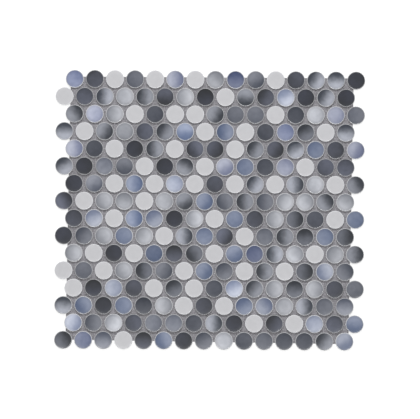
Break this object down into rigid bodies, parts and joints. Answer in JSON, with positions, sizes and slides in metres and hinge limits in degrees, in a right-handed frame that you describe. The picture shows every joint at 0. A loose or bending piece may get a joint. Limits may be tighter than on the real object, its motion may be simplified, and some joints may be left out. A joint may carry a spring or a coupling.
{
  "type": "penny round mosaic tile sheet",
  "caption": "Mosaic sheet of small round glazed porcelain tiles in white, grey and blue, laid in offset rows on a cut net backing, for grouting to a wall or floor.",
  "frame": {"origin": "on the net's underside, where the sheet lies on its bed, in the middle of the rounds' outline", "axes": "+Z out of the glazed faces, +X along a row of rounds, +Y across the rows"},
  "size_m": [0.3234, 0.2918, 0.0066],
  "materials": {
    "white_glaze": "satin white glaze",
    "charcoal_glaze": "glossy charcoal glaze, paler at the edge",
    "slate_glaze": "glossy slate grey glaze, paler at the edge",
    "ombre_glaze": "glossy glaze that fades from charcoal to silver across each round",
    "silver_glaze": "glossy pale grey glaze",
    "blue_glaze": "glossy grey blue glaze, paler at the edge",
    "pale_blue_glaze": "glossy pale lavender blue glaze",
    "glass_fibre_net": "grey glass fibre net, stiff with glue"
  },
  "bodies": {
    "root": {"white_rounds": "white_glaze", "charcoal_rounds": "charcoal_glaze", "slate_rounds": "slate_glaze", "ombre_rounds": "ombre_glaze", "silver_rounds": "silver_glaze", "blue_rounds": "blue_glaze", "pale_blue_rounds": "pale_blue_glaze", "backing_net": "glass_fibre_net"}
  },
  "joints": []
}
